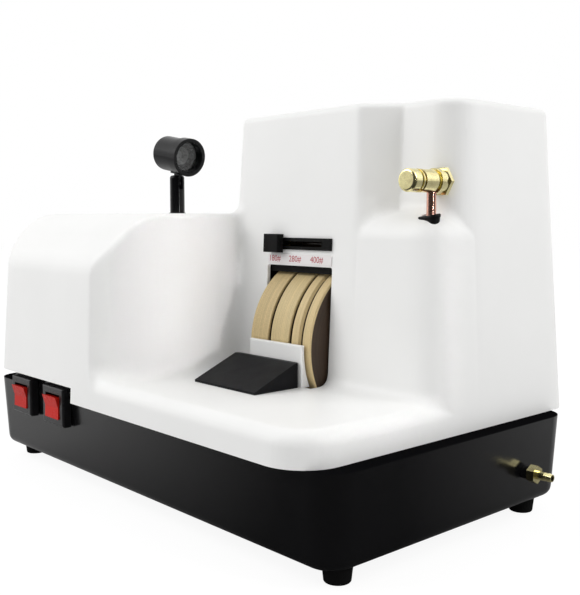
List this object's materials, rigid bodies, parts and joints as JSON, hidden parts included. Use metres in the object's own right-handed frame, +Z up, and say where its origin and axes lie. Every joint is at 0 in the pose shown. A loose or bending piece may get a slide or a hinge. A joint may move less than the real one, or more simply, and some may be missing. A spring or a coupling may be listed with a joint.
{
  "type": "optical lens edger",
  "caption": "Bench grinder for spectacle lenses: white moulded cover on a black base, wheels in a window, water valve, wheel selector, lamp and rocker switches.",
  "frame": {"origin": "on the floor, under the middle of the bounding box", "axes": "+Z up, +X along the length to the right as seen from the front, the window faces -Y"},
  "size_m": [0.4792, 0.291, 0.311],
  "materials": {
    "base_black": "satin gloss moulded black",
    "cover_white": "satin moulded white",
    "foot_rubber": "matte",
    "screw_steel": "zinc plated",
    "grit_coarse": "bonded abrasive, coarse",
    "grit_medium": "bonded abrasive, medium",
    "grit_fine": "bonded abrasive, fine",
    "spacer_dark": "matte",
    "steel": "machined",
    "motor_grey": "painted",
    "alloy": "cast",
    "lamination": "laminated core",
    "hood_black": "matte moulded",
    "tray_grey": "matte moulded",
    "brass": "turned",
    "copper": "bright copper tube",
    "black_rubber": "satin",
    "guard_white": "moulded",
    "rest_black": "moulded",
    "selector_black": "moulded",
    "plate_print": "printed film",
    "tank_clear": "translucent moulded",
    "cap_white": "moulded",
    "switch_black": "moulded",
    "switch_red": "translucent red",
    "lamp_black": "black anodised",
    "lens_clear": "clear",
    "led_grey": "reflector"
  },
  "bodies": {
    "housing": {"base_tub": "base_black", "top_shell": "cover_white", "foot_screws": "screw_steel", "shell_screws": "screw_steel", "motor_housing": "motor_grey", "motor_stator": "lamination", "end_bell_left": "alloy", "end_bell_right": "alloy", "bearing_left": "steel", "bearing_right": "steel", "motor_cradle": "motor_grey", "motor_bolts": "screw_steel", "run_capacitor": "cap_white", "terminal_block": "cap_white", "splash_hood": "hood_black", "water_tray": "tray_grey", "drain_pipe": "tray_grey", "drain_bushing": "black_rubber", "drain_barb": "brass", "water_guard": "guard_white", "hand_rest": "rest_black", "selector_rail": "selector_black", "number_plate": "plate_print", "valve_nut": "brass", "valve_body": "brass", "supply_tube": "copper", "tube_grommet": "black_rubber", "water_tank": "tank_clear", "switch_body_left": "switch_black", "switch_body_right": "switch_black", "power_inlet": "switch_black", "lamp_collar": "lamp_black", "foot_1": "foot_rubber", "foot_2": "foot_rubber", "foot_3": "foot_rubber", "foot_4": "foot_rubber"},
    "spindle": {"motor_shaft": "steel", "motor_rotor": "lamination", "rotor_fan": "selector_black", "inner_flange": "steel", "outer_flange": "steel", "wheel_nut": "steel", "wheel_coarse": "grit_coarse", "wheel_medium": "grit_medium", "wheel_fine": "grit_fine", "wheel_spacers": "spacer_dark"},
    "left_rocker": {"rocker_left": "switch_red"},
    "right_rocker": {"rocker_right": "switch_red"},
    "selector": {"selector_knob": "selector_black", "spray_sleeve": "brass"},
    "water_knob": {"valve_knob": "brass"},
    "filler_cap": {"tank_cap": "cap_white"},
    "lamp_stem": {"lamp_post": "lamp_black"},
    "lamp_top": {"lamp_knuckle": "lamp_black", "lamp_head": "lamp_black", "lamp_led": "led_grey", "lamp_lens": "lens_clear"}
  },
  "joints": [
    {"name": "spindle_spin", "type": "hinge", "parent": "housing", "child": "spindle", "pos_m": [-0.01064, 0.0305, 0.1265], "axis": [1, 0, 0], "continuous": true},
    {"name": "left_rocker_tilt", "type": "hinge", "parent": "housing", "child": "left_rocker", "pos_m": [-0.17114, -0.138, 0.0675], "axis": [1, 0, 0], "range_deg": [-14, 0]},
    {"name": "right_rocker_tilt", "type": "hinge", "parent": "housing", "child": "right_rocker", "pos_m": [-0.11114, -0.138, 0.0675], "axis": [1, 0, 0], "range_deg": [-14, 0]},
    {"name": "selector_slide", "type": "slide", "parent": "housing", "child": "selector", "axis": [1, 0, 0], "range_m": [0, 0.048]},
    {"name": "water_knob_turn", "type": "hinge", "parent": "housing", "child": "water_knob", "pos_m": [0.18286, 0.00583, 0.252], "axis": [0, 1, 0], "range_deg": [-360, 720]},
    {"name": "filler_cap_turn", "type": "hinge", "parent": "housing", "child": "filler_cap", "pos_m": [0.04936, 0.0765, 0.311], "axis": [0, 0, 1], "range_deg": [0, 90]},
    {"name": "lamp_swivel", "type": "hinge", "parent": "housing", "child": "lamp_stem", "pos_m": [-0.10764, -0.0135, 0.2305], "axis": [0, 0, 1], "range_deg": [-150, 150]},
    {"name": "lamp_tilt", "type": "hinge", "parent": "lamp_stem", "child": "lamp_top", "pos_m": [-0.10764, -0.0135, 0.259], "axis": [0, 1, 0], "range_deg": [-40, 20]}
  ]
}
